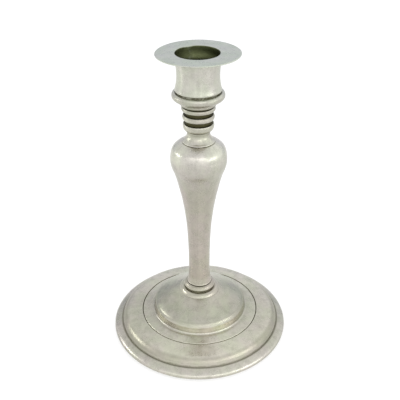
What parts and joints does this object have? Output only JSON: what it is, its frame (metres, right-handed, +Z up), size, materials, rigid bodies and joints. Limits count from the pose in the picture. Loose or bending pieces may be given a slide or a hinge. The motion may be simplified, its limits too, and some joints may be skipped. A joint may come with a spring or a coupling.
{
  "type": "altar candlestick",
  "caption": "Turned metal altar candlestick: stepped round foot, baluster stem, ringed neck, candle cup and a lift-off nozzle with a flat drip pan.",
  "frame": {"origin": "middle of the ring the foot stands on, at table height", "axes": "+Z up along the stem, which every part is turned about; X and Y are level and equal"},
  "size_m": [0.1218, 0.1218, 0.2],
  "materials": {
    "plated_body": "silver-plated brass, satin and softly tarnished, dark in the recesses",
    "plated_sheet": "silver-plated sheet brass, satin",
    "rod_steel": "plain steel rod, nuts and washers, dull"
  },
  "bodies": {
    "candlestick": {"foot": "plated_body", "foot_ring": "plated_body", "stem_ring": "plated_body", "stem": "plated_body", "neck_collar": "plated_body", "neck_ring_lower": "plated_body", "neck_ring_middle": "plated_body", "neck_ring_upper": "plated_body", "cup_base": "plated_body", "candle_cup": "plated_body", "tie_rod": "rod_steel", "cup_washer": "rod_steel", "cup_nut": "rod_steel", "foot_washer": "rod_steel", "lock_washer": "rod_steel", "foot_nut": "rod_steel"},
    "nozzle": {"nozzle": "plated_sheet"}
  },
  "joints": [
    {"name": "nozzle_lift", "type": "slide", "parent": "candlestick", "child": "nozzle", "axis": [0, 0, 1], "range_m": [0, 0.03]}
  ]
}
